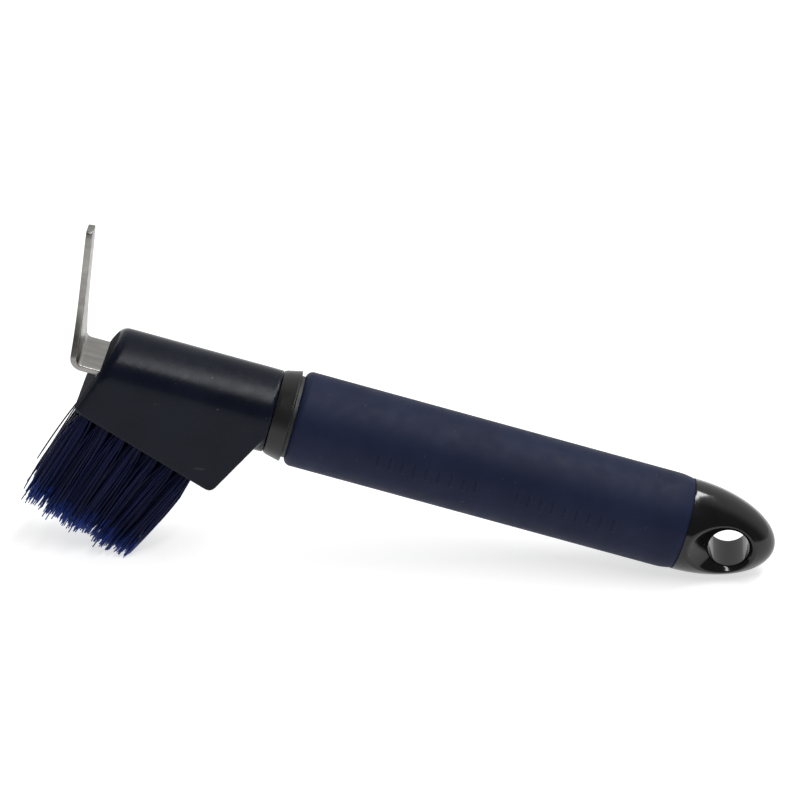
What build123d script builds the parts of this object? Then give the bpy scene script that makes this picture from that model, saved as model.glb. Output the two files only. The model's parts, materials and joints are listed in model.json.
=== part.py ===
"""Hoof pick with a brush: steel pick, moulded head, collar, rubber grip on a core, end cap and bristle tufts.

Millimetres, +Z up, the tool standing on its rear bristle tips and the underside of its end cap. Its handle
falls towards +X, where the end cap is, and the left and right halves mirror each other about the XZ plane.
Shapes are laid out in the tool's own axes: "along" runs down the handle from the collar to the cap, "rise"
is square to it on the pick's side, and "across" is the row's Y.
"""

import os
from math import cos, radians, sin, tan

from build123d import *

os.makedirs("parts", exist_ok=True)

# Standing pose
TILT = 14.36  # how far the handle falls towards the cap, degrees
ORIGIN_X = -37.421  # row X of the tool's own origin, on the handle axis at the collar's front face
ORIGIN_Z = 45.405  # height of that origin above the floor

# Grip sleeve and the core inside it
GRIP_START = 6.3
GRIP_END = 123.1
GRIP_R = 14.0
GRIP_FRONT_ROUND = 2.2
GRIP_TAIL = 5.0  # length over which the sleeve rolls down to the cap
GRIP_TAIL_R = 13.35
CORE_R = 10.0
CORE_SPIGOT_R = 7.0
CORE_FRONT = -13.0
CORE_BACK = 128.0  # the spigot's end, short of the wall round the hang hole
FLANGE_R = 12.1  # the core's flange, seen as the groove between collar and sleeve
RIB_COUNT = 9  # raised ribs in each of the two groups on each side of the sleeve
RIB_PITCH = 3.6
RIB_WIDTH = 1.3
RIB_HEIGHT = 4.2
RIB_PROUD = 0.35
RIB_GROUPS = (47.0, 88.0)  # where the middle of each group lies along the handle
RIB_ANGLE = 4.0  # above the side of the sleeve, degrees

# Collar between head and grip
COLLAR_LENGTH = 5.3
COLLAR_FRONT_R = 12.3
COLLAR_BACK_R = 13.5
COLLAR_ROUND = 0.4

# End cap
CAP_R = 13.6
CAP_LENGTH = 27.8
HOLE_R = 6.0
HOLE_ALONG = 137.0
HOLE_WALL = 14.4  # straight wall of the hang hole, between the countersinks on its two sides
SINK_ANGLE = 45.0  # of the countersink's side, from the hole's axis

# Head: a round neck with a flat-sided brush block under it
HEAD_R = 12.2
FRONT_LEAN = 19.0  # front face, from square to the handle
FACE_SLOPE = 18.1  # brush face, from the handle axis
FRONT_ALONG = -51.9  # where the front face crosses the handle axis
FACE_FRONT_RISE = -10.6  # height of the corner between front face and brush face
BLOCK_LENGTH = 46.6  # brush face, front corner to rear corner
NECK_JOIN = -5.0  # where the rear face meets the neck
NECK_LENGTH = 15.0  # from the collar to well inside the block
FRONT_ROUND = 3.0
REAR_ROUND = 2.3
FACE_ROUND = 0.6
SIDES_DOWN = 37.0  # how far the flat sides run below the handle axis, past the brush face

# Pick: one bent strip of steel
STRIP = 1.9
TANG_WIDTH = 18.4
TANG_TOP = 3.0
TANG_BACK = -26.0
BEND_ALONG = -59.5  # outer corner of the bend before it is rounded
LEG_LEAN = 6.7  # forward of square to the handle
LEG_LENGTH = 40.6
BEND_OUTER_R = 3.6
WAIST_WIDTH = 10.5
WAIST_UP = 14.0  # up the leg from the bend's outer corner
SHANK_WIDTH = 7.7
SHANK_UP = 28.0
POINT_WIDTH = 5.6
POINT_ROUND = 0.9
LOCK_HOLE_R = 2.5  # hole in the buried tang that the head's plastic fills
LOCK_HOLE_ALONG = -34.0

# Bristle tufts
TUFT_COLUMNS = 7
TUFT_ROWS = 4
TUFT_PITCH = 5.55
ROW_PITCH = 5.3
FIRST_TUFT = 4.9  # from the front corner of the brush face
FRONT_TUFT_LEAN = 16.0  # forward of square to the handle; the tufts between fan evenly
REAR_TUFT_LEAN = 23.4
TUFT_FREE = 34.15
TUFT_DEPTH = 7.0
TUFT_R = 2.0
TUFT_TIP_R = 2.3
TUFT_COLLAR = 0.5  # straight length outside the hole before the tuft spreads
ANCHOR_THICK = 0.6
ANCHOR_HEIGHT = 2.2
ANCHOR_LIFT = 1.0  # bristle under the anchor, where the tuft folds

# Cutting shapes
PAST = 1.0  # how far a cutting shape runs past the solid it cuts
THROUGH = 90.0  # longer than the head in any direction

AXIS = Vector(cos(radians(TILT)), 0, -sin(radians(TILT)))
RISE = Vector(sin(radians(TILT)), 0, cos(radians(TILT)))
ACROSS = Vector(0, 1, 0)


def spot(along, rise, across=0.0):
    """A point given in the tool's axes."""
    return Vector(ORIGIN_X, 0, ORIGIN_Z) + AXIS * along + RISE * rise + ACROSS * across


HANDLE = Axis(spot(0, 0), AXIS)
LOWEST = Axis(spot(0, 0), RISE)


def square_to_handle(along):
    """Cross-section plane: local X is across, local Y is the rise."""
    return Plane(origin=spot(along, 0), x_dir=ACROSS, z_dir=AXIS)


def side(across=0.0):
    """Side-view plane: local X runs along the handle, local Y is the rise."""
    return Plane(origin=spot(0, 0, across), x_dir=AXIS, z_dir=-ACROSS)


# ---- brush face and tuft places ---------------------------------------------------------------------------
face_run = BLOCK_LENGTH * cos(radians(FACE_SLOPE))
face_drop = BLOCK_LENGTH * sin(radians(FACE_SLOPE))
face_front = (FRONT_ALONG + FACE_FRONT_RISE * tan(radians(FRONT_LEAN)), FACE_FRONT_RISE)
face_rear = (face_front[0] + face_run, FACE_FRONT_RISE - face_drop)
rear_slope = (-HEAD_R - face_rear[1]) / (NECK_JOIN - face_rear[0])
rear_exit = (0, -HEAD_R - NECK_JOIN * rear_slope)  # where the rear face, carried on, leaves the head
front_top = (FRONT_ALONG + HEAD_R * tan(radians(FRONT_LEAN)), HEAD_R)
brush_way = RISE * -cos(radians(FACE_SLOPE)) - AXIS * sin(radians(FACE_SLOPE))


def tuft_root(column, row):
    """Where the middle of a tuft comes out of the brush face."""
    reach = FIRST_TUFT + column * TUFT_PITCH
    along = face_front[0] + reach * cos(radians(FACE_SLOPE))
    rise = face_front[1] - reach * sin(radians(FACE_SLOPE))
    return spot(along, rise, (row - (TUFT_ROWS - 1) / 2) * ROW_PITCH)


def tuft_plane(column, row, depth):
    """Plane square to a tuft, depth below the brush face, facing out along the bristles."""
    fan = column / (TUFT_COLUMNS - 1)
    lean = radians(FRONT_TUFT_LEAN + (REAR_TUFT_LEAN - FRONT_TUFT_LEAN) * fan)
    outward = RISE * -cos(lean) - AXIS * sin(lean)
    return Plane(origin=tuft_root(column, row) - outward * depth, x_dir=ACROSS, z_dir=outward)


tuft_places = [(column, row) for column in range(TUFT_COLUMNS) for row in range(TUFT_ROWS)]

# ---- pick -------------------------------------------------------------------------------------------------
leg_up = RISE * cos(radians(LEG_LEAN)) - AXIS * sin(radians(LEG_LEAN))
leg_out = AXIS * cos(radians(LEG_LEAN)) + RISE * sin(radians(LEG_LEAN))
tang_under = TANG_TOP - STRIP
tip_outer = (BEND_ALONG - LEG_LENGTH * sin(radians(LEG_LEAN)), tang_under + LEG_LENGTH * cos(radians(LEG_LEAN)))
tip_inner = (tip_outer[0] + STRIP * cos(radians(LEG_LEAN)), tip_outer[1] + STRIP * sin(radians(LEG_LEAN)))
bend_inner = (BEND_ALONG + STRIP * (1 - sin(radians(LEG_LEAN))) / cos(radians(LEG_LEAN)), TANG_TOP)

with BuildPart() as pick:
    with BuildSketch(side()):
        with BuildLine():
            Polyline(
                (TANG_BACK, tang_under),
                (BEND_ALONG, tang_under),
                tip_outer,
                tip_inner,
                bend_inner,
                (TANG_BACK, TANG_TOP),
                (TANG_BACK, tang_under),
            )
        profile = make_face()
        fillet(profile.vertices().sort_by_distance((BEND_ALONG, tang_under))[0], BEND_OUTER_R)
        fillet(profile.vertices().sort_by_distance(bend_inner)[0], BEND_OUTER_R - STRIP)
    extrude(amount=TANG_WIDTH / 2, both=True)
    # the leg narrows quickly above the bend and then evenly to its point
    with BuildSketch(Plane(origin=spot(BEND_ALONG, tang_under), x_dir=ACROSS, z_dir=leg_out)):
        with BuildLine():
            edge = Spline(
                (TANG_WIDTH / 2, BEND_OUTER_R),
                (WAIST_WIDTH / 2, WAIST_UP),
                (SHANK_WIDTH / 2, SHANK_UP),
                (POINT_WIDTH / 2, LEG_LENGTH + PAST),
            )
            Polyline(edge @ 1, (TANG_WIDTH, LEG_LENGTH + PAST), (TANG_WIDTH, BEND_OUTER_R), edge @ 0)
        make_face()
        mirror(about=Plane.YZ)
    extrude(amount=2 * STRIP, both=True, mode=Mode.SUBTRACT)
    across_strip = pick.edges().filter_by(Axis(spot(0, 0), leg_out))
    fillet(across_strip.sort_by(Axis(spot(0, 0), leg_up))[-2:], POINT_ROUND)
    with BuildSketch(Plane(origin=spot(LOCK_HOLE_ALONG, tang_under), x_dir=AXIS, z_dir=RISE)):
        Circle(LOCK_HOLE_R)
    extrude(amount=STRIP, mode=Mode.SUBTRACT)

# ---- core, collar, sleeve and end cap ---------------------------------------------------------------------
with BuildPart() as core:
    with BuildSketch(side()):
        with BuildLine():
            Polyline(
                (CORE_FRONT, 0),
                (CORE_FRONT, CORE_SPIGOT_R),
                (0, CORE_SPIGOT_R),
                (0, CORE_R),
                (COLLAR_LENGTH, CORE_R),
                (COLLAR_LENGTH, FLANGE_R),
                (GRIP_START, FLANGE_R),
                (GRIP_START, CORE_R),
                (GRIP_END, CORE_R),
                (GRIP_END, CORE_SPIGOT_R),
                (CORE_BACK, CORE_SPIGOT_R),
                (CORE_BACK, 0),
                (CORE_FRONT, 0),
            )
        make_face()
    revolve(axis=HANDLE)

with BuildPart() as collar:
    with BuildSketch(side()):
        with BuildLine():
            Polyline(
                (0, CORE_R),
                (0, COLLAR_FRONT_R),
                (COLLAR_LENGTH, COLLAR_BACK_R),
                (COLLAR_LENGTH, CORE_R),
                (0, CORE_R),
            )
        wall = make_face()
        fillet(wall.vertices().sort_by(Axis.Y)[-2:], COLLAR_ROUND)
    revolve(axis=HANDLE)

with BuildPart() as grip_sleeve:
    with BuildSketch(side()):
        with BuildLine():
            mouth = Line((GRIP_START, CORE_R), (GRIP_START, GRIP_R - GRIP_FRONT_ROUND))
            lip = RadiusArc(mouth @ 1, (GRIP_START + GRIP_FRONT_ROUND, GRIP_R), GRIP_FRONT_ROUND)
            barrel = Line(lip @ 1, (GRIP_END - GRIP_TAIL, GRIP_R))
            tail = TangentArc(barrel @ 1, (GRIP_END, GRIP_TAIL_R), tangent=barrel % 1)
            Polyline(tail @ 1, (GRIP_END, CORE_R), mouth @ 0)
        make_face()
    revolve(axis=HANDLE)
    # plain raised ribs along each side of the sleeve
    for sign in (-1, 1):
        rib_out = RISE * sin(radians(RIB_ANGLE)) + ACROSS * sign * cos(radians(RIB_ANGLE))
        with BuildSketch(Plane(origin=spot(0, 0) + rib_out * CORE_R, x_dir=AXIS, z_dir=rib_out)):
            for middle in RIB_GROUPS:
                with Locations((middle, 0)):
                    with GridLocations(RIB_PITCH, RIB_PITCH, RIB_COUNT, 1):
                        SlotOverall(RIB_HEIGHT, RIB_WIDTH, rotation=90)
        extrude(amount=GRIP_R + RIB_PROUD - CORE_R)

with BuildPart() as end_cap:
    with BuildSketch(side()):
        with BuildLine():
            dome = EllipticalCenterArc((GRIP_END, 0), CAP_LENGTH, CAP_R, arc_size=90)
            Polyline(dome @ 1, (GRIP_END, CORE_SPIGOT_R), (CORE_BACK, CORE_SPIGOT_R), (CORE_BACK, 0), dome @ 0)
        make_face()
    revolve(axis=HANDLE)
    with BuildSketch(side()):
        with Locations((HOLE_ALONG, 0)):
            Circle(HOLE_R)
    extrude(amount=CAP_R, both=True, mode=Mode.SUBTRACT)
    for sign in (-1, 1):
        sink_mouth = spot(HOLE_ALONG, 0, sign * HOLE_WALL / 2)
        with BuildSketch(Plane(origin=sink_mouth, x_dir=AXIS, z_dir=ACROSS * sign)):
            Circle(HOLE_R)
        extrude(amount=CAP_R + PAST - HOLE_WALL / 2, taper=-SINK_ANGLE, mode=Mode.SUBTRACT)

# ---- head -------------------------------------------------------------------------------------------------
with BuildPart() as head:
    with BuildSketch(side()):
        with BuildLine():
            Polyline(
                (0, 0),
                (0, HEAD_R),
                front_top,
                face_front,
                face_rear,
                rear_exit,
                (0, 0),
            )
        make_face()
    extrude(amount=HEAD_R, both=True)
    with BuildSketch(square_to_handle(PAST - THROUGH)):
        Circle(HEAD_R)
        with Locations((0, -SIDES_DOWN / 2)):
            Rectangle(2 * HEAD_R, SIDES_DOWN)
    extrude(amount=THROUGH, mode=Mode.INTERSECT)
    rear_corner = head.edges().filter_by(Axis.Y).sort_by(LOWEST)[0]
    fillet(rear_corner, REAR_ROUND)
    front_face = head.faces().sort_by(HANDLE)[0]
    front_rim = front_face.edges().sort_by(LOWEST)
    fillet(front_rim[1:], FRONT_ROUND)
    brush_face = head.faces().filter_by(GeomType.PLANE).sort_by(Axis(spot(0, 0), brush_way))[-1]
    fillet(brush_face.edges(), FACE_ROUND)
    # the neck is round all the way, and the block's flat rear face runs into it
    with BuildSketch(square_to_handle(0)):
        Circle(HEAD_R)
    extrude(amount=-NECK_LENGTH)
    with BuildSketch(square_to_handle(CORE_FRONT)):
        Circle(CORE_SPIGOT_R)
    extrude(amount=-CORE_FRONT, mode=Mode.SUBTRACT)
    add(pick.part, mode=Mode.SUBTRACT)
    for column, row in tuft_places:
        with BuildSketch(tuft_plane(column, row, TUFT_DEPTH)):
            Circle(TUFT_R)
        extrude(amount=2 * TUFT_DEPTH, mode=Mode.SUBTRACT)

# ---- tuft anchors, one flat clip across the bottom of each tuft hole --------------------------------------
with BuildPart() as tuft_anchors:
    for column, row in tuft_places:
        with BuildSketch(tuft_plane(column, row, TUFT_DEPTH - ANCHOR_LIFT)):
            Circle(TUFT_R)
            Rectangle(2 * TUFT_R, ANCHOR_THICK, mode=Mode.INTERSECT)
        extrude(amount=ANCHOR_HEIGHT)

for name, built in {
    "pick": pick,
    "head": head,
    "collar": collar,
    "core": core,
    "grip_sleeve": grip_sleeve,
    "end_cap": end_cap,
    "tuft_anchors": tuft_anchors,
}.items():
    built.part.label = name
    export_step(built.part, f"parts/{name}.step")

# ---- bristle tufts, each folded round its anchor ----------------------------------------------------------
for column, row in tuft_places:
    with BuildPart() as tuft:
        with BuildSketch(tuft_plane(column, row, TUFT_DEPTH)):
            Circle(TUFT_R)
        extrude(amount=TUFT_DEPTH + TUFT_COLLAR)
        with BuildSketch(tuft_plane(column, row, -TUFT_COLLAR)):
            Circle(TUFT_R)
        with BuildSketch(tuft_plane(column, row, -TUFT_FREE)):
            Circle(TUFT_TIP_R)
        loft()
        with BuildSketch(tuft_plane(column, row, TUFT_DEPTH - ANCHOR_LIFT)):
            Rectangle(3 * TUFT_R, ANCHOR_THICK)
        extrude(amount=ANCHOR_HEIGHT, mode=Mode.SUBTRACT)
    name = f"tuft_{column + 1}_{row + 1}"
    tuft.part.label = name
    export_step(tuft.part, f"parts/{name}.step")
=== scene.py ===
"""Looks of the hoof pick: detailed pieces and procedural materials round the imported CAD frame.

Pieces are laid out in the tool's own axes, in millimetres: along the handle from the collar to the cap,
across it (the row's Y), and the rise square to the handle on the pick's side.
"""

import json
import math
import random

import bmesh
import bpy
import numpy as np
from mathutils import Matrix, Vector


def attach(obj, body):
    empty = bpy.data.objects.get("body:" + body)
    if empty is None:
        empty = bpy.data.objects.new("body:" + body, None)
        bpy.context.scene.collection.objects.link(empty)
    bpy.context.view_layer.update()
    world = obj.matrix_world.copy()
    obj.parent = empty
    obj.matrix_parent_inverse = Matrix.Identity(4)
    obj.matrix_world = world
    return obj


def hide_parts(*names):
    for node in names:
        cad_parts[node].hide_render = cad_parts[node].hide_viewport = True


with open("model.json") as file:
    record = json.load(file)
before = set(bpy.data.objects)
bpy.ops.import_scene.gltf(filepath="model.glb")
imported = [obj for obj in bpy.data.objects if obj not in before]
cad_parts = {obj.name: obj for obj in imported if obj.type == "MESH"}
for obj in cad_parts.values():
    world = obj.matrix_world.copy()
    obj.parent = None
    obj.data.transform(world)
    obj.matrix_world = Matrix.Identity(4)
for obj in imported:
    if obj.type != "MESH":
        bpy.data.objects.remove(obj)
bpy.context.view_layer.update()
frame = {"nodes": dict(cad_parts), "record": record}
nodes = frame["nodes"]

MM = 0.001
TILT = math.radians(14.36)  # how far the handle falls towards the cap
ALONG = Vector((math.cos(TILT), 0.0, -math.sin(TILT)))
ACROSS = Vector((0.0, 1.0, 0.0))
RISE = Vector((math.sin(TILT), 0.0, math.cos(TILT)))
TOOL = np.array([ALONG, ACROSS, RISE]) * MM
HOLE_ALONG = 137.0
hang_hole = next(m for m in frame["record"]["mounts"] if m["name"] == "hang_hole")
# the origin of the tool's own axes: on the handle axis, at the collar's front face
ORIGIN = Vector(hang_hole["pos_m"]) - ALONG * HOLE_ALONG * MM
WELD = 0.002 * MM  # points nearer than this are one point


# ---- mesh helpers -----------------------------------------------------------------------------------------
def to_row(points):
    """Points as (along, across, rise) in millimetres, turned into row metres."""
    return np.asarray(points, float) @ TOOL + np.array(ORIGIN)


def grid_faces(rows, columns, wrap_rows=False):
    """Quads over a grid of points stored row by row, each row a closed ring."""
    faces = []
    for r in range(rows if wrap_rows else rows - 1):
        for c in range(columns):
            nr, nc = (r + 1) % rows, (c + 1) % columns
            faces.append((r * columns + c, r * columns + nc, nr * columns + nc, nr * columns + c))
    return faces


def piece(name, points, faces, material, stands_for):
    """A smooth mesh object in the row frame that rides on the tool."""
    mesh = bpy.data.meshes.new(name)
    mesh.from_pydata(to_row(points).tolist(), [], faces)
    bm = bmesh.new()
    bm.from_mesh(mesh)
    bmesh.ops.remove_doubles(bm, verts=bm.verts, dist=WELD)
    bmesh.ops.recalc_face_normals(bm, faces=bm.faces)
    bm.to_mesh(mesh)
    bm.free()
    mesh.shade_smooth()
    mesh.materials.append(material.material)
    ob = bpy.data.objects.new(name, mesh)
    bpy.context.scene.collection.objects.link(ob)
    finish_piece(ob, stands_for)
    return ob


def finish_piece(ob, stands_for):
    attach(ob, "root")
    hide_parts(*stands_for)


def arc(centre, radius, start, end, steps):
    """Points of a circular arc, angles in degrees."""
    angles = np.radians(np.linspace(start, end, steps))
    return [(centre[0] + radius * math.cos(a), centre[1] + radius * math.sin(a)) for a in angles]


RAISED_FROM_R = 12.0  # a turned surface nearer the axis than this is a bore, and isn't raised


def turned(name, profile, material, stands_for, angles=None, raised=None):
    """A closed (along, radius) outline turned about the handle; raised(along, angle) lifts its surface."""
    if angles is None:
        angles = np.linspace(0, 2 * math.pi, 128, endpoint=False)
    points = []
    for along, radius in profile:
        for a in angles:
            r = radius + (raised(along, a) if raised and radius > RAISED_FROM_R else 0.0)
            points.append((along, r * math.cos(a), r * math.sin(a)))
    faces = grid_faces(len(profile), len(angles), wrap_rows=True)
    return piece(name, points, faces, material, stands_for)


# ---- materials --------------------------------------------------------------------------------------------
class Nodes:
    """A material's node tree with short ways to add and link nodes."""

    def __init__(self, name):
        self.material = bpy.data.materials.new(name)
        self.material.use_nodes = True
        self.tree = self.material.node_tree
        self.shader = self.tree.nodes["Principled BSDF"]
        self.place = self.add("ShaderNodeTexCoord").outputs["Object"]

    def add(self, kind, **settings):
        node = self.tree.nodes.new(kind)
        for key, value in settings.items():
            setattr(node, key, value)
        return node

    def link(self, a, b):
        self.tree.links.new(a, b)

    def noise(self, scale, detail=4.0, rough=0.55, stretch=None):
        node = self.add("ShaderNodeTexNoise")
        node.inputs["Scale"].default_value = scale
        node.inputs["Detail"].default_value = detail
        node.inputs["Roughness"].default_value = rough
        source = self.place
        if stretch:
            mapping = self.add("ShaderNodeMapping")
            mapping.inputs["Rotation"].default_value = (0.0, -TILT, 0.0)
            mapping.inputs["Scale"].default_value = stretch
            self.link(self.place, mapping.inputs["Vector"])
            source = mapping.outputs["Vector"]
        self.link(source, node.inputs["Vector"])
        return node.outputs["Fac"]

    def span(self, value, low, high, to_low, to_high):
        node = self.add("ShaderNodeMapRange")
        for key, number in zip(("From Min", "From Max", "To Min", "To Max"), (low, high, to_low, to_high)):
            node.inputs[key].default_value = number
        self.link(value, node.inputs["Value"])
        return node.outputs["Result"]

    def blend(self, factor, colour_a, colour_b):
        node = self.add("ShaderNodeMix", data_type="RGBA")
        self.link(factor, node.inputs["Factor"])
        for key, colour in (("A", colour_a), ("B", colour_b)):
            socket = [s for s in node.inputs if s.name == key and s.type == "RGBA"][0]
            if isinstance(colour, tuple):
                socket.default_value = (*colour, 1.0)
            else:
                self.link(colour, socket)
        return [s for s in node.outputs if s.type == "RGBA"][0]

    def bump(self, height, strength, distance_mm):
        node = self.add("ShaderNodeBump")
        node.inputs["Strength"].default_value = strength
        node.inputs["Distance"].default_value = distance_mm * MM
        self.link(height, node.inputs["Height"])
        self.link(node.outputs["Normal"], self.shader.inputs["Normal"])

    def to(self, socket, value):
        target = self.shader.inputs[socket]
        if isinstance(value, (int, float, tuple)):
            target.default_value = value
        else:
            self.link(value, target)


# noise scales of the mouldings: clouds of colour, dust specks, patches of roughness
CLOUDS, DUST, PATCHES = 70.0, 900.0, 260.0
DUST_COLOUR = (0.20, 0.21, 0.23)


def moulded(name, dark, light, rough, grain, specks):
    """Moulded plastic or rubber: cloudy colour, a fine skin texture and a few dust specks."""
    m = Nodes(name)
    cloud = m.noise(CLOUDS, 3.0)
    base = m.blend(m.span(cloud, 0.35, 0.65, 0.0, 1.0), dark, light)
    dust = m.span(m.noise(DUST, 2.0), 0.74, 0.80, 0.0, specks)
    m.to("Base Color", m.blend(dust, base, DUST_COLOUR))
    m.to("Roughness", m.span(m.noise(PATCHES, 5.0), 0.3, 0.7, *rough))
    m.bump(m.noise(grain, 3.0), 0.25, 0.05)
    return m


head_plastic = moulded("satin_navy", (0.0034, 0.0046, 0.0105), (0.0054, 0.0072, 0.0150),
                       rough=(0.24, 0.33), grain=1500.0, specks=0.5)
grip_rubber = moulded("soft_navy", (0.0085, 0.0120, 0.0330), (0.0118, 0.0160, 0.0420),
                      rough=(0.48, 0.60), grain=2600.0, specks=0.35)
collar_plastic = moulded("satin_black", (0.0070, 0.0070, 0.0068), (0.0105, 0.0105, 0.0102),
                         rough=(0.28, 0.38), grain=1800.0, specks=0.4)
core_plastic = moulded("matte_black", (0.0050, 0.0050, 0.0050), (0.0080, 0.0080, 0.0080),
                       rough=(0.45, 0.60), grain=1800.0, specks=0.2)
cap_plastic = moulded("gloss_black", (0.0040, 0.0040, 0.0042), (0.0070, 0.0070, 0.0072),
                      rough=(0.09, 0.16), grain=500.0, specks=0.3)

# the head's front face is rougher than its sides, and its skin carries short scuffs
FRONT_FACE_ROUGH = 0.9
SCUFF_COLOUR = (0.055, 0.060, 0.072)
way = head_plastic.add("ShaderNodeSeparateXYZ")
head_plastic.link(head_plastic.add("ShaderNodeNewGeometry").outputs["True Normal"], way.inputs["Vector"])
front = head_plastic.span(way.outputs["X"], -0.85, -0.55, FRONT_FACE_ROUGH, 0.0)
satin = head_plastic.shader.inputs["Roughness"].links[0].from_socket
rougher = head_plastic.add("ShaderNodeMath", operation="MAXIMUM")
head_plastic.link(satin, rougher.inputs[0])
head_plastic.link(front, rougher.inputs[1])
head_plastic.to("Roughness", rougher.outputs[0])
marks = head_plastic.noise(260.0, 3.0, 0.5, stretch=(0.35, 1.0, 1.6))
scuff = head_plastic.span(marks, 0.70, 0.76, 0.0, 0.35)
skin = head_plastic.shader.inputs["Base Color"].links[0].from_socket
head_plastic.to("Base Color", head_plastic.blend(scuff, skin, SCUFF_COLOUR))

GLOSS = ((head_plastic, 0.12), (grip_rubber, 0.10), (collar_plastic, 0.32), (cap_plastic, 0.34))
for plastic, level in GLOSS:
    plastic.shader.inputs["Specular IOR Level"].default_value = level

steel = Nodes("bright_steel")
streaks = steel.noise(60.0, 6.0, 0.6, stretch=(0.35, 6.0, 6.0))
rolled = steel.span(streaks, 0.3, 0.7, 0.0, 1.0)
steel.to("Base Color", steel.blend(rolled, (0.20, 0.195, 0.185), (0.31, 0.305, 0.29)))
steel.to("Metallic", 1.0)
steel.to("Roughness", steel.span(steel.noise(420.0, 5.0), 0.3, 0.7, 0.26, 0.40))
steel.bump(steel.noise(700.0, 4.0, stretch=(0.3, 3.0, 3.0)), 0.12, 0.03)

bristle = Nodes("navy_filament")
reach = bristle.add("ShaderNodeAttribute", attribute_name="reach").outputs["Fac"]
shade = bristle.add("ShaderNodeAttribute", attribute_name="shade").outputs["Fac"]
body = bristle.blend(shade, (0.0014, 0.0028, 0.0170), (0.0036, 0.0075, 0.0480))
tip = bristle.blend(shade, (0.0034, 0.0150, 0.1200), (0.0100, 0.0440, 0.2900))
streak = bristle.span(bristle.noise(900.0, 2.0), 0.35, 0.65, -0.08, 0.08)
blend_reach = bristle.add("ShaderNodeMath", operation="ADD")
bristle.link(reach, blend_reach.inputs[0])
bristle.link(streak, blend_reach.inputs[1])
TIPS_FROM = 0.80  # share of a filament's length past which it turns blue
blue = bristle.span(blend_reach.outputs[0], TIPS_FROM, 1.0, 0.0, 1.0)
bristle.to("Base Color", bristle.blend(blue, body, tip))
bristle.shader.inputs["Specular IOR Level"].default_value = 0.12
bristle.to("Roughness", bristle.span(bristle.noise(1500.0, 2.0), 0.3, 0.7, 0.28, 0.42))


def dress(node, material):
    """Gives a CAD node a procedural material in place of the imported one."""
    mesh = nodes[node].data
    mesh.materials.clear()
    mesh.materials.append(material.material)


# ---- pick: one bent strip ---------------------------------------------------------------------------------
STRIP = 1.9
STRIP_EDGE = 0.45
TANG_WIDTH = 18.4
TANG_MIDDLE = 2.05
TANG_BACK = -26.0
BEND_ALONG = -59.5
BEND_R = 2.65
BEND_OUTER_R = 3.6
LEG_LEAN = math.radians(6.7)
LEG_LENGTH = 40.6
LEG_UP = np.array([BEND_OUTER_R, 8.0, 14.0, 20.0, 28.0, 34.0, 38.5, LEG_LENGTH])
LEG_HALF = np.array([9.2, 7.15, 5.25, 4.3, 3.85, 3.55, 3.15, 2.75])
POINT_ROUND = 0.9
POINT_THINNER = 0.5  # taken off the strip's thickness at the very point
CORNER_STEPS = 5  # points round each edge of the strip
EDGE_LIMIT = 0.98  # of half the strip, so that its edges never meet

leg_dir = np.array([-math.sin(LEG_LEAN), math.cos(LEG_LEAN)])
leg_in = np.array([math.cos(LEG_LEAN), math.sin(LEG_LEAN)])
bend_x = BEND_ALONG + BEND_OUTER_R * (1 - math.sin(LEG_LEAN)) / math.cos(LEG_LEAN)
bend_centre = np.array([bend_x, TANG_MIDDLE + BEND_R])
outer_corner = np.array([BEND_ALONG, TANG_MIDDLE - STRIP / 2])


def leg_half(up):
    """Half the strip's width at a distance up the leg, by smooth interpolation, rounded at the point."""
    slopes = np.gradient(LEG_HALF, LEG_UP)
    k = int(np.clip(np.searchsorted(LEG_UP, up) - 1, 0, len(LEG_UP) - 2))
    span = LEG_UP[k + 1] - LEG_UP[k]
    t = min(max((up - LEG_UP[k]) / span, 0.0), 1.0)
    half = (
        (2 * t**3 - 3 * t**2 + 1) * LEG_HALF[k]
        + (t**3 - 2 * t**2 + t) * span * slopes[k]
        + (3 * t**2 - 2 * t**3) * LEG_HALF[k + 1]
        + (t**3 - t**2) * span * slopes[k + 1]
    )
    left = max(LEG_LENGTH - up, 0.0)
    if left < POINT_ROUND:
        half -= POINT_ROUND - math.sqrt(POINT_ROUND**2 - (POINT_ROUND - left) ** 2)
    return half


def build_pick():
    stations = []
    for along in np.linspace(TANG_BACK, bend_x, 30):
        stations.append((np.array([along, TANG_MIDDLE]), np.array([0.0, 1.0]), TANG_WIDTH / 2))
    for angle in np.linspace(-90.0, -180.0 + math.degrees(LEG_LEAN), 18)[1:]:
        out = np.array([math.cos(math.radians(angle)), math.sin(math.radians(angle))])
        stations.append((bend_centre + out * BEND_R, -out, TANG_WIDTH / 2))
    ups = np.concatenate([np.linspace(BEND_OUTER_R, LEG_LENGTH - POINT_ROUND, 70)[1:],
                          LEG_LENGTH - POINT_ROUND * (1 - np.sin(np.linspace(0, math.pi / 2, 8)[1:]))])
    for up in ups:
        stations.append((outer_corner + leg_dir * up + leg_in * STRIP / 2, leg_in, leg_half(up)))
    points, count = [], 4 * CORNER_STEPS
    last = len(stations) - 1
    for k, (centre, inward, half) in enumerate(stations):
        thickness = STRIP - (POINT_THINNER if k == last else 0.0)
        ring_edge = min(STRIP_EDGE, thickness / 2 * EDGE_LIMIT, half * EDGE_LIMIT)
        for sy, sn, start in ((1, 1, 0), (-1, 1, 90), (-1, -1, 180), (1, -1, 270)):
            corner = sy * (half - ring_edge), sn * (thickness / 2 - ring_edge)
            for y, n in arc(corner, ring_edge, start, start + 90, CORNER_STEPS):
                x, z = centre + inward * n
                points.append((x, y, z))
    faces = grid_faces(len(stations), count)
    faces.append(tuple(reversed(range(count))))
    faces.append(tuple(range(last * count, (last + 1) * count)))
    piece("pick_strip", points, faces, steel, ["pick"])


build_pick()

# ---- head: the CAD solid with every edge softened as a moulding's are -------------------------------------
HEAD_VOXEL = 0.42
HEAD_ROUNDS = 8  # of smoothing


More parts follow.
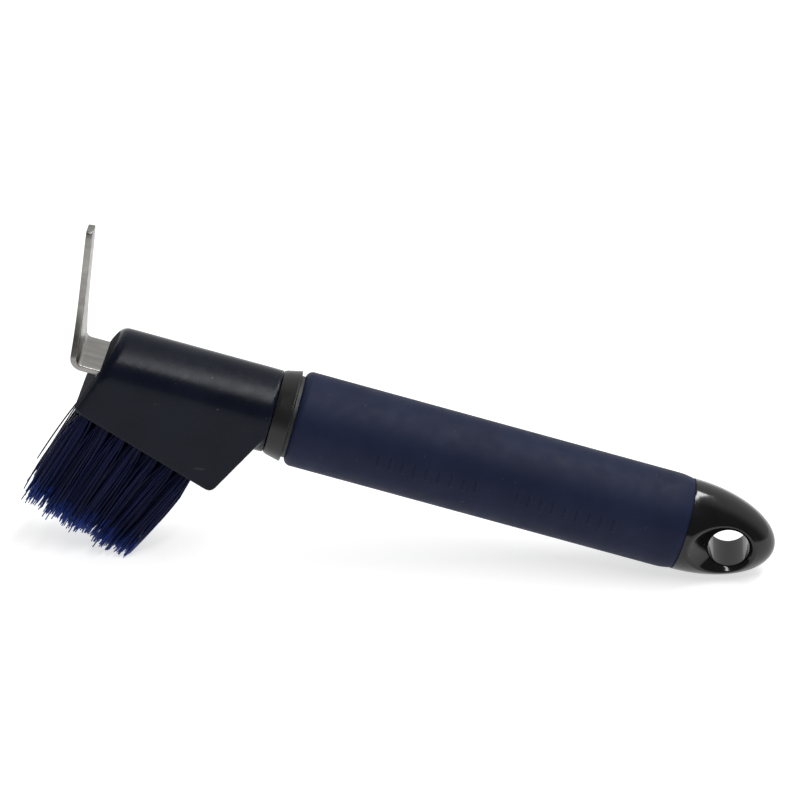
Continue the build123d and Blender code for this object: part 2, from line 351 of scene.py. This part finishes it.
def softened(name, node, voxel, rounds, material):
    """A piece from a CAD node's own mesh, remeshed finely and relaxed so that its edges turn over."""
    mesh = nodes[node].data.copy()
    mesh.name = name
    ob = bpy.data.objects.new(name, mesh)
    bpy.context.scene.collection.objects.link(ob)
    bm = bmesh.new()
    bm.from_mesh(mesh)
    bmesh.ops.remove_doubles(bm, verts=bm.verts, dist=WELD)
    bm.to_mesh(mesh)
    bm.free()
    remesh = ob.modifiers.new("remesh", "REMESH")
    remesh.mode = "VOXEL"
    remesh.voxel_size = voxel * MM
    relax = ob.modifiers.new("relax", "SMOOTH")
    relax.factor = 0.5
    relax.iterations = rounds
    bpy.context.view_layer.update()
    done = bpy.data.meshes.new_from_object(ob.evaluated_get(bpy.context.evaluated_depsgraph_get()))
    ob.modifiers.clear()
    ob.data = done
    done.shade_smooth()
    done.materials.clear()
    done.materials.append(material.material)
    finish_piece(ob, [node])


softened("head_moulding", "head", HEAD_VOXEL, HEAD_ROUNDS, head_plastic)

# ---- collar and sleeve ------------------------------------------------------------------------------------
COLLAR_LENGTH = 5.3
COLLAR_FRONT_R = 12.3
COLLAR_BACK_R = 13.5
COLLAR_EDGE = 0.45
CORE_R = 10.05
GRIP_START = 6.3
GRIP_END = 123.1
GRIP_R = 14.0
GRIP_FRONT_ROUND = 2.2
GRIP_TAIL = 5.0
GRIP_TAIL_R = 13.35
RIB_GROUPS = (47.0, 88.0)
RIB_COUNT = 9
RIB_PITCH = 3.6
RIB_WIDTH = 1.3
RIB_HEIGHT = 4.2
RIB_PROUD = 0.35
RIB_ANGLE = math.radians(4.0)
RIB_FADE = 0.3

collar_profile = [(0.05, CORE_R), (0.05, COLLAR_FRONT_R - 0.6)]
collar_profile += arc((COLLAR_EDGE + 0.05, COLLAR_FRONT_R - COLLAR_EDGE), COLLAR_EDGE, 180, 95, 6)
collar_profile += [(x, COLLAR_FRONT_R + (COLLAR_BACK_R - COLLAR_FRONT_R) * x / COLLAR_LENGTH)
                   for x in np.linspace(0.9, COLLAR_LENGTH - 0.8, 10)]
back_edge = COLLAR_LENGTH - COLLAR_EDGE, COLLAR_BACK_R - COLLAR_EDGE - 0.02
collar_profile += arc(back_edge, COLLAR_EDGE, 85, 0, 6)
collar_profile += [(COLLAR_LENGTH, CORE_R)]
turned("collar_ring", collar_profile, collar_plastic, ["collar"])


def rib_height(along, angle):
    """Raised ribs with rounded ends on both sides of the sleeve; angle turns from across towards the rise."""
    best = 0.0
    middle = min(RIB_GROUPS, key=lambda m: abs(m - along))
    step = round((along - middle) / RIB_PITCH + (RIB_COUNT - 1) / 2)
    step = min(max(step, 0), RIB_COUNT - 1)
    centre = middle + (step - (RIB_COUNT - 1) / 2) * RIB_PITCH
    for facing in (RIB_ANGLE, math.pi - RIB_ANGLE):
        off = math.atan2(math.sin(angle - facing), math.cos(angle - facing)) * GRIP_R
        reach = max(abs(off) - (RIB_HEIGHT - RIB_WIDTH) / 2, 0.0)
        away = math.hypot(along - centre, reach) - RIB_WIDTH / 2
        t = min(max(-away / RIB_FADE, 0.0), 1.0)
        best = max(best, RIB_PROUD * t * t * (3 - 2 * t))
    return best


fine = math.radians(13.0)  # the ribs lie within this angle of their middle, and get closer columns
grip_angles = []
for facing in (RIB_ANGLE, math.pi - RIB_ANGLE):
    grip_angles += list(facing + np.linspace(-fine, fine, 42))
grip_angles += list(np.linspace(RIB_ANGLE + fine, math.pi - RIB_ANGLE - fine, 42)[1:-1])
grip_angles += list(np.linspace(math.pi - RIB_ANGLE + fine, 2 * math.pi + RIB_ANGLE - fine, 54)[1:-1])
grip_angles = np.array(sorted(a % (2 * math.pi) for a in grip_angles))

band = (RIB_COUNT - 1) / 2 * RIB_PITCH + RIB_WIDTH
rows = set(np.round(np.linspace(GRIP_START + GRIP_FRONT_ROUND, GRIP_END - GRIP_TAIL, 60), 3))
for middle in RIB_GROUPS:
    rows = {x for x in rows if abs(x - middle) > band + 0.3}
    rows |= set(np.round(np.linspace(middle - band, middle + band, 190), 3))
tail_drop = GRIP_R - GRIP_TAIL_R
grip_profile = [(GRIP_START, CORE_R), (GRIP_START, GRIP_R - GRIP_FRONT_ROUND)]
front_round = GRIP_START + GRIP_FRONT_ROUND, GRIP_R - GRIP_FRONT_ROUND
grip_profile += arc(front_round, GRIP_FRONT_ROUND, 180, 92, 10)[1:]
grip_profile += [(x, GRIP_R) for x in sorted(rows)]
for t in np.linspace(0, 1, 12)[1:]:
    grip_profile.append((GRIP_END - GRIP_TAIL * (1 - t), GRIP_R - tail_drop * t**2))
grip_profile += [(GRIP_END, GRIP_TAIL_R - 0.5), (GRIP_END, CORE_R)]
turned("grip_cover", grip_profile, grip_rubber, ["grip_sleeve"], grip_angles, rib_height)

# ---- end cap: a dome with a hang hole, countersunk on both sides ------------------------------------------
CAP_R = 13.6
CAP_LENGTH = 27.8
HOLE_R = 6.0
HOLE_WALL = 14.4
RIM_SOFT = 0.35  # rounding of the hole's rim
SINK_SOFT = 0.8  # blend between the dome and the countersink
FLAT_RAYS, ROUND_RAYS, RAY_STEPS, RIM_STEPS, WALL_STEPS = 80, 150, 72, 7, 14
SHARP = math.radians(50)  # edges sharper than this stay crisp


def cap_surface(along, rise):
    """How far out the cap's side stands at a place in side view: the dome or the countersink."""
    radius2 = CAP_R**2 * max(1 - ((along - GRIP_END) / CAP_LENGTH) ** 2, 0.0)
    dome = math.sqrt(max(radius2 - rise**2, 0.0))
    sink = HOLE_WALL / 2 + math.hypot(along - HOLE_ALONG, rise) - HOLE_R
    blend = max(SINK_SOFT - abs(dome - sink), 0.0) ** 2 / (4 * SINK_SOFT)
    return max(min(dome, sink) - blend, 0.0)


def cap_edge(angle):
    """Distance from the hole's middle to the outline in side view, and whether that is the flat end."""
    c, s = math.cos(angle), math.sin(angle)
    x0 = (HOLE_ALONG - GRIP_END) / CAP_LENGTH
    a = (c / CAP_LENGTH) ** 2 + (s / CAP_R) ** 2
    b = 2 * x0 * c / CAP_LENGTH
    outline = (-b + math.sqrt(b * b - 4 * a * (x0**2 - 1))) / (2 * a)
    flat = (GRIP_END - HOLE_ALONG) / c if c < 0 else float("inf")
    return min(outline, flat), flat < outline


def build_cap():
    corner = math.atan2(CAP_R, GRIP_END - HOLE_ALONG)
    angles = list(np.linspace(-corner, corner, ROUND_RAYS))
    angles += list(np.linspace(corner, 2 * math.pi - corner, FLAT_RAYS))[1:-1]
    start = HOLE_R + RIM_SOFT
    points = []
    for angle in angles:
        c, s = math.cos(angle), math.sin(angle)
        edge, on_flat = cap_edge(angle)
        top = cap_surface(HOLE_ALONG + start * c, start * s)
        # the rim turns over from the hole's wall to the countersink
        rim = np.linspace(0, 1, RIM_STEPS)
        half = [(HOLE_R + RIM_SOFT * t * t, top - 2 * RIM_SOFT * (1 - t)) for t in rim]
        for t in np.linspace(0, 1, RAY_STEPS)[1:]:
            r = start + (edge - start) * math.sin(t * math.pi / 2)
            half.append((r, cap_surface(HOLE_ALONG + r * c, r * s)))
        wall = [(HOLE_R, half[0][1] * t) for t in np.linspace(0, 1, WALL_STEPS)[:-1]]
        # down the flat end; on the round side the two halves meet, and these points weld into one
        side = half[-1][1] if on_flat else 0.0
        drop = [(edge, side * t) for t in np.linspace(1, 0, WALL_STEPS)[1:]]
        upper = wall + half + drop
        lower = [(r, -y) for r, y in reversed(upper[1:-1])]
        points += [(HOLE_ALONG + r * c, y, r * s) for r, y in upper + lower]
    per = len(points) // len(angles)
    ob = piece("hang_cap", points, grid_faces(len(angles), per, wrap_rows=True), cap_plastic,
               ["end_cap"])
    ob.data.set_sharp_from_angle(angle=SHARP)


build_cap()

# ---- bristles ---------------------------------------------------------------------------------------------
COLUMNS, ROWS = 7, 4
TUFT_PITCH, ROW_PITCH, FIRST_TUFT = 5.55, 5.3, 4.9
FACE_SLOPE = math.radians(18.1)
FRONT_LEAN, REAR_LEAN = 16.0, 23.4  # of the tufts, forward of square to the handle
FACE_FRONT = np.array([-51.9 - 10.6 * math.tan(math.radians(19.0)), -10.6])
TUFT_R, TUFT_FREE, TUFT_DEPTH = 1.95, 34.15, 2.5
FILAMENTS, FILAMENT_R, SIDES, RINGS = 74, 0.225, 6, 12
BLOOM, BLOOM_LENGTH = 0.46, 7.0  # share by which a tuft widens below the face, and over what length
FLOOR_GAP = 0.15
GOLDEN_TURN = 2.39996  # radians between neighbouring filaments, so that they fill the tuft evenly
STRAYS, TIP_THINNER = 0.05, 0.72  # share of filaments that stray, and a tip's share of full thickness
across_dir = np.array([0.0, 1.0, 0.0])
pick_random = random.Random(11)


def tuft(column, row):
    """One tuft of separate filaments; reach and shade colour them along their length and one by one."""
    tuft_lean = math.radians(FRONT_LEAN + (REAR_LEAN - FRONT_LEAN) * column / (COLUMNS - 1))
    bristle_way = np.array([-math.sin(tuft_lean), 0.0, -math.cos(tuft_lean)])
    bristle_side = np.array([math.cos(tuft_lean), 0.0, -math.sin(tuft_lean)])
    reach = FIRST_TUFT + column * TUFT_PITCH
    root = np.array([FACE_FRONT[0] + reach * math.cos(FACE_SLOPE), (row - (ROWS - 1) / 2) * ROW_PITCH,
                     FACE_FRONT[1] - reach * math.sin(FACE_SLOPE)])
    lean = pick_random.gauss(0.0, 0.010), pick_random.gauss(0.0, 0.015)
    trim = pick_random.gauss(-0.5, 0.35)
    points, faces, reaches, shades = [], [], [], []
    for k in range(FILAMENTS):
        spread = math.sqrt((k + 0.5) / FILAMENTS)
        turn = k * GOLDEN_TURN + pick_random.uniform(-0.3, 0.3)
        px, py = spread * math.cos(turn), spread * math.sin(turn)
        splay = pick_random.gauss(0.013, 0.010)
        drift = pick_random.gauss(0, 0.013), pick_random.gauss(0, 0.015)
        bow = pick_random.gauss(0, 0.45), pick_random.gauss(0, 0.45)
        length = TUFT_FREE + trim + pick_random.gauss(0, 0.8)
        if pick_random.random() < STRAYS:
            drift = drift[0] + pick_random.gauss(0, 0.010), drift[1] + pick_random.gauss(0, 0.022)
        shade_value = pick_random.random()
        tip_u = px * (TUFT_R - FILAMENT_R) * (1 + BLOOM) + (lean[0] + drift[0] + splay * px) * length
        tip_height = to_row([root + bristle_way * length + bristle_side * tip_u])[0][2] / MM
        if tip_height < FLOOR_GAP:
            length -= (FLOOR_GAP - tip_height) / math.cos(tuft_lean + TILT)
        spin = pick_random.uniform(0, math.tau)
        base = len(points)
        for j in range(RINGS):
            t = j / (RINGS - 1)
            s = -TUFT_DEPTH + (length + TUFT_DEPTH) * t
            free = max(s, 0.0)
            opened = min(free / BLOOM_LENGTH, 1.0)
            width = (TUFT_R - FILAMENT_R) * (1 + BLOOM * opened * (2 - opened))
            bend = math.sin(math.pi * t) * opened
            u = px * width + (lean[0] + drift[0] + splay * px) * free + bow[0] * bend
            v = py * width + (lean[1] + drift[1] + splay * py) * free + bow[1] * bend
            centre = root + bristle_way * s + bristle_side * u + across_dir * v
            radius = FILAMENT_R * (TIP_THINNER if j == RINGS - 1 else 1.0)
            for i in range(SIDES):
                a = spin + i * math.tau / SIDES
                points.append(centre + (bristle_side * math.cos(a) + across_dir * math.sin(a)) * radius)
                reaches.append(t)
                shades.append(shade_value)
        faces += [tuple(base + f for f in face) for face in grid_faces(RINGS, SIDES)]
        faces.append(tuple(base + i for i in reversed(range(SIDES))))
        faces.append(tuple(base + (RINGS - 1) * SIDES + i for i in range(SIDES)))
    place = f"{column + 1}_{row + 1}"
    mesh = bpy.data.meshes.new(f"bristles_{place}")
    mesh.from_pydata(to_row(points).tolist(), [], faces)
    for label, values in (("reach", reaches), ("shade", shades)):
        mesh.attributes.new(label, "FLOAT", "POINT").data.foreach_set("value", values)
    bm = bmesh.new()
    bm.from_mesh(mesh)
    bmesh.ops.recalc_face_normals(bm, faces=bm.faces)
    bm.to_mesh(mesh)
    bm.free()
    mesh.shade_smooth()
    mesh.materials.append(bristle.material)
    ob = bpy.data.objects.new(f"bristles_{place}", mesh)
    bpy.context.scene.collection.objects.link(ob)
    finish_piece(ob, [f"tuft_{place}"])


for column in range(COLUMNS):
    for row in range(ROWS):
        tuft(column, row)

dress("core", core_plastic)
dress("tuft_anchors", steel)

# ---- floor, light and camera ------------------------------------------------------------------------------
FLOOR_HALF = 4.0
floor_mesh = bpy.data.meshes.new("floor")
floor_corners = [(x * FLOOR_HALF, y * FLOOR_HALF, 0) for x, y in ((-1, -1), (1, -1), (1, 1), (-1, 1))]
floor_mesh.from_pydata(floor_corners, [], [(0, 1, 2, 3)])
floor = bpy.data.objects.new("floor", floor_mesh)
bpy.context.scene.collection.objects.link(floor)
paper = Nodes("pale_floor")
paper.to("Base Color", paper.blend(paper.noise(3.0, 2.0), (0.52, 0.52, 0.52), (0.55, 0.55, 0.55)))
paper.to("Roughness", paper.span(paper.noise(40.0, 2.0), 0.3, 0.7, 0.85, 0.95))
paper.shader.inputs["Specular IOR Level"].default_value = 0.1
paper.shader.inputs["Emission Color"].default_value = (1.0, 1.0, 1.0, 1.0)
paper.shader.inputs["Emission Strength"].default_value = 0.66
floor_mesh.materials.append(paper.material)

# one long, narrow lamp overhead, whose reflection is the streak along the head
LAMP_PLACE, LAMP_AIM = Vector((0.40, -0.10, 1.2)), Vector((0.10, 0.0, 0.0))
lamp = bpy.data.lights.new("overhead", "AREA")
lamp.shape = "RECTANGLE"
lamp.size, lamp.size_y = 2.0, 0.15
lamp.energy = 19.0
overhead = bpy.data.objects.new("overhead", lamp)
overhead.location = LAMP_PLACE
overhead.rotation_euler = (LAMP_AIM - LAMP_PLACE).to_track_quat("-Z", "Y").to_euler()
bpy.context.scene.collection.objects.link(overhead)

# the studio is darker on the camera's side than behind the tool
world = bpy.data.worlds.new("studio")
world.use_nodes = True
bpy.context.scene.world = world
backdrop = world.node_tree.nodes["Background"]
spread = world.node_tree.nodes.new("ShaderNodeTexCoord")
split = world.node_tree.nodes.new("ShaderNodeSeparateXYZ")
ramp = world.node_tree.nodes.new("ShaderNodeMapRange")
world.node_tree.links.new(spread.outputs["Generated"], split.inputs["Vector"])
world.node_tree.links.new(split.outputs["Y"], ramp.inputs["Value"])
for key, number in (("From Min", -0.05), ("From Max", 0.30), ("To Min", 0.12), ("To Max", 0.80)):
    ramp.inputs[key].default_value = number
world.node_tree.links.new(ramp.outputs["Result"], backdrop.inputs["Strength"])
backdrop.inputs["Color"].default_value = (1.0, 1.0, 1.0, 1.0)

AIM = ORIGIN + Vector((36.525, 0.0, 5.665)) * MM
ELEVATION = math.radians(28.40)
AZIMUTH = math.radians(4.306)
DISTANCE = 872.6 * MM
ROLL = math.radians(0.657)
LENS = 136.94
out = Vector((math.cos(ELEVATION) * math.sin(AZIMUTH), -math.cos(ELEVATION) * math.cos(AZIMUTH),
              math.sin(ELEVATION)))
level = Vector((0, 0, 1)).cross(out).normalized()
upright = out.cross(level)
right = level * math.cos(ROLL) + upright * math.sin(ROLL)
up = out.cross(right)
camera_data = bpy.data.cameras.new("camera")
camera_data.lens = LENS
camera_data.sensor_width = 36.0
camera_data.clip_start = 0.05
camera = bpy.data.objects.new("camera", camera_data)
placed = Matrix((right, up, out)).transposed().to_4x4()
placed.translation = AIM + out * DISTANCE
camera.matrix_world = placed
bpy.context.scene.collection.objects.link(camera)
bpy.context.scene.camera = camera
bpy.context.scene.view_settings.view_transform = "Standard"

bpy.context.view_layer.update()
